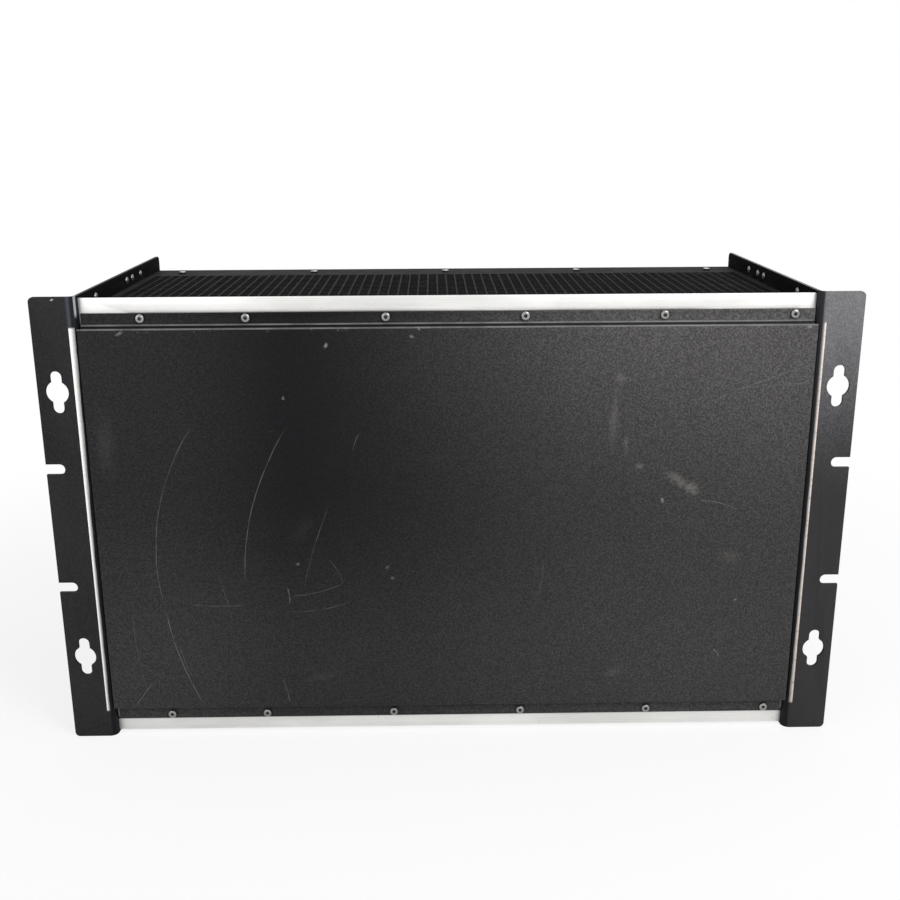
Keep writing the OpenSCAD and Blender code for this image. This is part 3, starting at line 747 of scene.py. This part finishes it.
def board_mask(colours):
    """Solder mask over the backplane's glass weave, with raised tracks and tinned pads."""
    material, tree, shader, place = new_material("board_mask")
    parts = axes(tree, place)
    weave = use(tree, paint_grain, Vector=place, Size=0.0007)
    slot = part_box("upper_connector_1")
    slot_x = (slot[0].x + slot[1].x) / 2
    slot_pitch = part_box("upper_connector_2")[0].x - slot[0].x
    pitch = CONTACT_PITCH
    from_mid = from_middle(tree, parts["Z"])
    rows = within(tree, from_mid, slot[0].z - MID_Z + 5 * MM, slot[1].z - MID_Z - 5 * MM, 0.3 * MM)
    tracks = times(tree, step(tree, repeating(tree, parts["Z"], MID_Z, pitch), 0.45 * MM, 0.3 * MM), rows)
    column = repeating(tree, parts["X"], slot_x, slot_pitch)
    near_slot = within(tree, column, 2.5 * pitch, 3.5 * pitch, 0.2 * MM)
    pad_x = repeating(tree, column, 3 * pitch, pitch)
    pad_z = repeating(tree, parts["Z"], MID_Z, pitch)
    radius = diagonal(tree, pad_x, pad_z)
    pads = times(tree, step(tree, radius, 0.85 * MM, 0.7 * MM), times(tree, near_slot, rows))
    edge = step(tree, from_mid, *BOARD_EDGE)
    base = shades(tree, weave["Tone"], colours.board, 1.0, 1.7)
    base = tint(tree, base, tracks, 0.7, (0.028, 0.145, 0.055))
    base = mix(tree, pads, base, (0.6, 0.58, 0.52))
    base = tint(tree, base, edge, 0.5, (0.35, 0.3, 0.12))
    feed(tree, base, shader.inputs["Base Color"])
    feed(tree, times(tree, pads, 0.9), shader.inputs["Metallic"])
    roughen(tree, shader, weave["Tone"], 0.2, 0.28)
    relief = calc(tree, "ADD", tracks, times(tree, weave["Height"], 0.25))
    bump(tree, shader, calc(tree, "ADD", relief, pads), 0.5, 0.05 * MM)
    return material


# Scratches on the cover, seen from behind: start and end (x, z), bow, width and strength, in mm.
# A bow above 0 bulges to the left of the way from start to end.
COVER_SCRATCHES = [
    ((-152, 207), (-177, 86), -13, 0.30, 0.7),
    ((-177, 86), (-157, 20), -3, 0.32, 0.9),
    ((-170, 62), (-163, 40), -1, 0.28, 0.5),
    ((-96, 206), (-127, 103), -8, 0.32, 0.8),
    ((-73, 156), (-91, 100), -1.5, 0.28, 0.6),
    ((-54, 200), (-58, 189), -0.4, 0.26, 0.6),
    ((-198, 86), (-194, 36), -1, 0.26, 0.5),
    ((-189, 39), (-203, 19), 0.6, 0.32, 0.7),
    ((-161, 91), (-128, 90), -1, 0.30, 0.6),
    ((-145, 115), (-136, 77), 0.8, 0.26, 0.4),
    ((-75, 120), (-66, 104), 1, 0.34, 0.6),
    ((-66, 104), (-101, 95), 1.5, 0.30, 0.5),
    ((-101, 101), (-100, 90), 0.5, 0.45, 0.9),
    ((-102, 85), (-61, 92), -2, 0.28, 0.5),
    ((-107, 40), (-103, 22), 0.5, 0.36, 0.9),
    ((215, 240), (150, 215), -1.6, 0.28, 0.6),
    ((214, 230), (198, 228), 0.4, 0.26, 0.5),
    ((162, 236), (152, 216), 1, 0.26, 0.35),
    ((151, 156), (176, 149), 1.6, 0.28, 0.7),
    ((57, 118), (51, 83), 2, 0.28, 0.45),
    ((166, 56), (170, 51), 0.8, 0.5, 1.0),
]

# Rubbed spots on the cover: centre (x, z), slant in degrees, half length, half width and strength, in mm.
COVER_RUBS = [
    ((98, 207), 88, 19, 3.0, 0.22),
    ((105.5, 192), 90, 9, 2.0, 0.2),
    ((114, 178), 0, 3, 2.6, 0.35),
    ((139, 168), -37, 14, 3.6, 0.38),
    ((146, 164), -37, 7, 4.0, 0.5),
    ((129, 156.5), 90, 2.2, 1.0, 0.9),
    ((-72, 253), 60, 2.2, 1.2, 1.0),
    ((-98, 222), 90, 1.6, 0.9, 0.8),
    ((-94, 117), 20, 1.6, 1.0, 0.6),
    ((-39, 114), 40, 2.0, 1.2, 0.4),
    ((-36, 107), 0, 1.5, 1.2, 0.5),
    ((-22, 258), 0, 1.5, 1.2, 0.8),
    ((-191, 261), 20, 2.4, 1.2, 0.9),
    ((-83, 40), 10, 12, 3, 0.07),
    ((-90, 140), 50, 12, 7, 0.03),
    ((173, 119), 0, 8, 5, 0.14),
    ((104, 41), 20, 8, 4, 0.14),
    ((101, 232), 0, 4, 4, 0.22),
    ((178, 90), 60, 1.6, 1.1, 0.6),
    ((-205, 195), 90, 22, 7, 0.08),
]


# ---- making pieces ----


def finish_piece(name, mesh, material, nodes):
    """Links a finished mesh as a piece that stands for its CAD nodes."""
    mesh.polygons.foreach_set("use_smooth", [True] * len(mesh.polygons))
    mesh.set_sharp_from_angle(angle=SHARP)
    mesh.materials.clear()
    mesh.materials.append(material)
    piece = bpy.data.objects.new(name, mesh)
    bpy.context.scene.collection.objects.link(piece)
    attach(piece, "root")
    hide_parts(*nodes)
    return piece


def to_mesh(bm, name):
    mesh = bpy.data.meshes.new(name)
    bm.to_mesh(mesh)
    bm.free()
    return mesh


def merged_copy(node_name):
    """A CAD node's mesh with its loose triangles merged into flat faces."""
    bm = bmesh.new()
    bm.from_mesh(NODES[node_name].data)
    bmesh.ops.remove_doubles(bm, verts=bm.verts[:], dist=WELD)
    bmesh.ops.dissolve_limit(bm, angle_limit=FLAT, verts=bm.verts[:], edges=bm.edges[:])
    return bm


def round_edges(bm, edges, offset, segments):
    bmesh.ops.bevel(
        bm, geom=edges, offset=offset, offset_type="OFFSET", affect="EDGES", segments=segments,
        profile=0.5, material=-1, clamp_overlap=True)


def sharp_edges(bm):
    return [e for e in bm.edges if len(e.link_faces) == 2 and e.calc_face_angle(0.0) > SHARP]


def dressed(node_name, rounding, material, segments=2):
    """A copy of a CAD node with softened edges."""
    bm = merged_copy(node_name)
    round_edges(bm, sharp_edges(bm), rounding, segments)
    name = node_name + "_finished"
    return finish_piece(name, to_mesh(bm, name), material, [node_name])


def paint_inside(piece, material):
    """Gives the faces that look into the cage their own material."""
    piece.data.materials.append(material)
    inner_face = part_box("rear_top_rail")[1].x
    for face in piece.data.polygons:
        if abs(abs(face.center.x) - inner_face) < 0.05 * MM and abs(face.normal.x) > 0.9:
            face.material_index = 1


def rear_cover_piece(sizes, material):
    """The cover with its step bends rounded more than its cut edges."""
    bm = merged_copy("rear_cover")
    low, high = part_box("rear_cover")
    step_low = (high.z - low.z) / 2 - 11.5 * MM

    def is_bend(edge):
        ends = [v.co for v in edge.verts]
        long = abs(ends[0].x - ends[1].x) > 0.2
        inside = all(step_low < abs(p.z - MID_Z) < (high.z - low.z) / 2 - 5 * MM for p in ends)
        return long and inside

    folded = [e for e in bm.edges if len(e.link_faces) == 2 and e.calc_face_angle(0.0) > FLAT * 5]
    bends = [e for e in folded if is_bend(e)]
    round_edges(bm, bends, sizes.cover_bend, 4)
    round_edges(bm, sharp_edges(bm), sizes.sheet_edge, 2)
    name = "rear_cover_finished"
    return finish_piece(name, to_mesh(bm, name), material, ["rear_cover"])


def vent_grid_piece(sizes, node_name, material):
    """A perforated panel: a grid of square openings with a plain margin all round."""
    low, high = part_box(node_name)
    pitch = sizes.vent_pitch
    width = high.x - low.x
    columns = int((width - 2 * sizes.vent_side_margin) / pitch)
    length = high.y - low.y - sizes.vent_front_margin - sizes.vent_rear_margin
    rows = int(length / pitch)
    far = high.y - sizes.vent_front_margin
    near = far - rows * pitch
    half = columns * pitch / 2
    bm = bmesh.new()
    bmesh.ops.create_grid(bm, x_segments=columns, y_segments=rows, size=1.0)
    grow = Matrix.Diagonal((half, (far - near) / 2, 1.0, 1.0))
    place = Matrix.Translation((0.0, (near + far) / 2, low.z)) @ grow
    bmesh.ops.transform(bm, matrix=place, verts=bm.verts[:])
    openings = bm.faces[:]
    bmesh.ops.inset_individual(bm, faces=openings, thickness=sizes.vent_web / 2, use_even_offset=True)
    bmesh.ops.delete(bm, geom=openings, context="FACES")

    def on_rim(point):
        return abs(abs(point.x) - half) < WELD or min(abs(point.y - near), abs(point.y - far)) < WELD

    rim = [e for e in bm.edges if e.is_boundary and all(on_rim(v.co) for v in e.verts)]
    grown = bmesh.ops.extrude_edge_only(bm, edges=rim)["geom"]
    for vert in (g for g in grown if isinstance(g, bmesh.types.BMVert)):
        if abs(abs(vert.co.x) - half) < WELD:
            vert.co.x = math.copysign(high.x, vert.co.x)
        if abs(vert.co.y - near) < WELD:
            vert.co.y = low.y
        elif abs(vert.co.y - far) < WELD:
            vert.co.y = high.y
    bmesh.ops.recalc_face_normals(bm, faces=bm.faces[:])
    if bm.faces[0].normal.z < 0:
        bmesh.ops.reverse_faces(bm, faces=bm.faces[:])
    bmesh.ops.solidify(bm, geom=bm.faces[:], thickness=-(high.z - low.z))
    bmesh.ops.recalc_face_normals(bm, faces=bm.faces[:])
    shift = low.z - min(v.co.z for v in bm.verts)
    bmesh.ops.translate(bm, vec=(0.0, 0.0, shift), verts=bm.verts[:])
    name = node_name + "_finished"
    return finish_piece(name, to_mesh(bm, name), material, [node_name])


# ---- one operator for each piece or group of like pieces ----


def settings(context):
    """The sizes and colours that the scene holds."""
    return context.scene.card_cage_sizes, context.scene.card_cage_colours


class CARD_CAGE_OT_side_plates(bpy.types.Operator):
    """Dresses both side plates with their ears"""

    bl_idname = "card_cage.side_plates"
    bl_label = "Side Plates"
    bl_options = {"REGISTER", "UNDO"}

    def execute(self, context):
        sizes, colours = settings(context)
        material = plate_paint(colours)
        inside = plate_inside_shaded(colours)
        for side in ("left", "right"):
            paint_inside(dressed("side_plate_" + side, sizes.sheet_edge, material), inside)
        return {"FINISHED"}


class CARD_CAGE_OT_rear_cover(bpy.types.Operator):
    """Dresses the rear cover"""

    bl_idname = "card_cage.rear_cover"
    bl_label = "Rear Cover"
    bl_options = {"REGISTER", "UNDO"}

    def execute(self, context):
        sizes, colours = settings(context)
        rear_cover_piece(sizes, cover_paint(colours))
        return {"FINISHED"}


class CARD_CAGE_OT_rails(bpy.types.Operator):
    """Dresses the six rails"""

    bl_idname = "card_cage.rails"
    bl_label = "Rails"
    bl_options = {"REGISTER", "UNDO"}

    def execute(self, context):
        sizes, colours = settings(context)
        material = bare_aluminium(colours)
        for place in ("rear", "backplane", "front"):
            for level in ("top", "bottom"):
                dressed(f"{place}_{level}_rail", sizes.rail_edge, material)
        return {"FINISHED"}


class CARD_CAGE_OT_vent_panels(bpy.types.Operator):
    """Makes the two perforated panels"""

    bl_idname = "card_cage.vent_panels"
    bl_label = "Vent Panels"
    bl_options = {"REGISTER", "UNDO"}

    def execute(self, context):
        sizes, colours = settings(context)
        material = vent_paint(colours)
        for level in ("top", "bottom"):
            vent_grid_piece(sizes, level + "_vent_panel", material)
        return {"FINISHED"}


class CARD_CAGE_OT_fasteners(bpy.types.Operator):
    """Dresses the screws and rivets"""

    bl_idname = "card_cage.fasteners"
    bl_label = "Screws and Rivets"
    bl_options = {"REGISTER", "UNDO"}

    def execute(self, context):
        colours = settings(context)[1]
        cover_zinc = plated_steel("cover_screw_zinc", colours.zinc, 0.14, cover_socket_shade)
        zinc = plated_steel("zinc", [0.75 * c for c in colours.zinc], 0.2)
        vent_oxide = plated_steel("vent_screw_oxide", colours.oxide, 0.3, vent_socket_shade, vent_screw_highlight)
        oxide = plated_steel("black_oxide", colours.oxide, 0.35)
        dressed("cover_screws", COVER_SCREW_EDGE, cover_zinc, 3)
        dressed("vent_screws", SCREW_EDGE, vent_oxide, 1)
        dressed("backplane_screws", SCREW_EDGE, zinc, 1)
        for side in ("left", "right"):
            dressed("side_rivets_" + side, SCREW_EDGE, zinc, 1)
            dressed("rail_screws_" + side, SCREW_EDGE, oxide, 1)
        return {"FINISHED"}


class CARD_CAGE_OT_card_guides(bpy.types.Operator):
    """Dresses the moulded card guides"""

    bl_idname = "card_cage.card_guides"
    bl_label = "Card Guides"
    bl_options = {"REGISTER", "UNDO"}

    def execute(self, context):
        sizes, colours = settings(context)
        material = moulded_plastic(colours)
        for name in sorted(NODES):
            if "_guide" in name:
                dressed(name, sizes.moulded_edge, material)
        return {"FINISHED"}


class CARD_CAGE_OT_backplane(bpy.types.Operator):
    """Dresses the backplane board and its connectors"""

    bl_idname = "card_cage.backplane"
    bl_label = "Backplane and Connectors"
    bl_options = {"REGISTER", "UNDO"}

    def execute(self, context):
        sizes, colours = settings(context)
        material = connector_plastic(colours)
        for name in sorted(NODES):
            if "connector" in name:
                dressed(name, sizes.moulded_edge, material)
        dressed("backplane", sizes.moulded_edge, board_mask(colours))
        return {"FINISHED"}


def white_to_rays(tree):
    """1 for rays that see the background directly, in a mirror or through glass."""
    path = node(tree, "ShaderNodeLightPath").outputs
    seen = calc(tree, "MAXIMUM", path["Is Camera Ray"], path["Is Glossy Ray"])
    return calc(tree, "MAXIMUM", seen, path["Is Transmission Ray"])


def pale_world(scene):
    """Even pale light, and plain white where it is seen."""
    world = bpy.data.worlds.new("studio")
    scene.world = world
    world.use_nodes = True
    tree = world.node_tree
    background = next(n for n in tree.nodes if n.type == "BACKGROUND")
    background.inputs["Color"].default_value = (1.0, 1.0, 1.0, 1.0)
    feed(tree, step(tree, white_to_rays(tree), 0.0, 1.0, 0.5, 1.0), background.inputs["Strength"])


def pale_floor():
    """A white floor that keeps the object's shadow."""
    bpy.ops.mesh.primitive_plane_add(size=FLOOR_SIZE, location=(0.0, 0.0, CAD_BOX[0].z - 0.02 * MM))
    floor = bpy.context.active_object
    floor.name = "floor"
    material, tree, shader, place = new_material("pale_floor")
    shader.inputs["Base Color"].default_value = (0.9, 0.9, 0.9, 1.0)
    shader.inputs["Roughness"].default_value = 0.9
    shader.inputs["Specular IOR Level"].default_value = 0.1
    glow = node(tree, "ShaderNodeEmission", {"Color": (1.0, 1.0, 1.0, 1.0), "Strength": 1.0})
    distance = node(tree, "ShaderNodeVectorMath", {0: place}, operation="LENGTH").outputs["Value"]
    white = step(tree, distance, 0.3, 0.75, 0.8, 1.0)
    share = times(tree, node(tree, "ShaderNodeLightPath").outputs["Is Camera Ray"], white)
    blend = node(tree, "ShaderNodeMixShader", {0: share, 1: shader.outputs[0], 2: glow.outputs[0]})
    output = next(n for n in tree.nodes if n.type == "OUTPUT_MATERIAL")
    feed(tree, blend.outputs[0], output.inputs["Surface"])
    floor.data.materials.append(material)


def soft_light(name, place, aim, size, power):
    """A square area light that faces a point."""
    lamp = bpy.data.lights.new(name, "AREA")
    lamp.size = size
    lamp.energy = power
    light = bpy.data.objects.new(name, lamp)
    light.location = place
    light.rotation_euler = (Vector(aim) - Vector(place)).to_track_quat("-Z", "Y").to_euler()
    bpy.context.scene.collection.objects.link(light)


def rear_camera(scene):
    """A camera behind the cage, a little to its left and looking down on it."""
    data = bpy.data.cameras.new("camera")
    data.sensor_width = 36.0
    data.lens = LENS
    data.clip_start = 0.01
    data.clip_end = 50.0
    camera = bpy.data.objects.new("camera", data)
    turn = (
        Matrix.Rotation(CAMERA_YAW, 4, "Z") @ Matrix.Rotation(CAMERA_PITCH, 4, "X")
        @ Matrix.Rotation(CAMERA_ROLL, 4, "Y") @ Matrix.Rotation(math.radians(90), 4, "X"))
    camera.matrix_world = Matrix.Translation(CAMERA_PLACE) @ turn
    scene.collection.objects.link(camera)
    scene.camera = camera


class CARD_CAGE_OT_stage(bpy.types.Operator):
    """Sets up the floor, the light and the camera"""

    bl_idname = "card_cage.stage"
    bl_label = "Stage"
    bl_options = {"REGISTER", "UNDO"}

    def execute(self, context):
        scene = context.scene
        scene.view_settings.view_transform = "Standard"
        pale_world(scene)
        pale_floor()
        centre = (CAD_BOX[0] + CAD_BOX[1]) / 2
        for name, place, size, power in LAMPS:
            soft_light(name, place, centre, size, power)
        rear_camera(scene)
        return {"FINISHED"}


OPERATORS = [
    CARD_CAGE_OT_side_plates,
    CARD_CAGE_OT_rear_cover,
    CARD_CAGE_OT_rails,
    CARD_CAGE_OT_vent_panels,
    CARD_CAGE_OT_fasteners,
    CARD_CAGE_OT_card_guides,
    CARD_CAGE_OT_backplane,
    CARD_CAGE_OT_stage,
]


class CARD_CAGE_PT_panel(bpy.types.Panel):
    """Lists the pieces and their settings"""

    bl_label = "Card Cage"
    bl_space_type = "VIEW_3D"
    bl_region_type = "UI"
    bl_category = "Card Cage"

    def draw(self, context):
        for group in settings(context):
            box = self.layout.box()
            for name in group.__annotations__:
                box.prop(group, name)
        for operator in OPERATORS:
            self.layout.operator(operator.bl_idname)


CLASSES = [CageSizes, CageColours, *OPERATORS, CARD_CAGE_PT_panel]


def register():
    for cls in CLASSES:
        bpy.utils.register_class(cls)
    bpy.types.Scene.card_cage_sizes = bpy.props.PointerProperty(type=CageSizes)
    bpy.types.Scene.card_cage_colours = bpy.props.PointerProperty(type=CageColours)


def unregister():
    del bpy.types.Scene.card_cage_colours
    del bpy.types.Scene.card_cage_sizes
    for cls in reversed(CLASSES):
        bpy.utils.unregister_class(cls)


def main():
    register()
    bpy.ops.card_cage.side_plates()
    bpy.ops.card_cage.rear_cover()
    bpy.ops.card_cage.rails()
    bpy.ops.card_cage.vent_panels()
    bpy.ops.card_cage.fasteners()
    bpy.ops.card_cage.card_guides()
    bpy.ops.card_cage.backplane()
    bpy.ops.card_cage.stage()


if __name__ == "__main__":
    main()
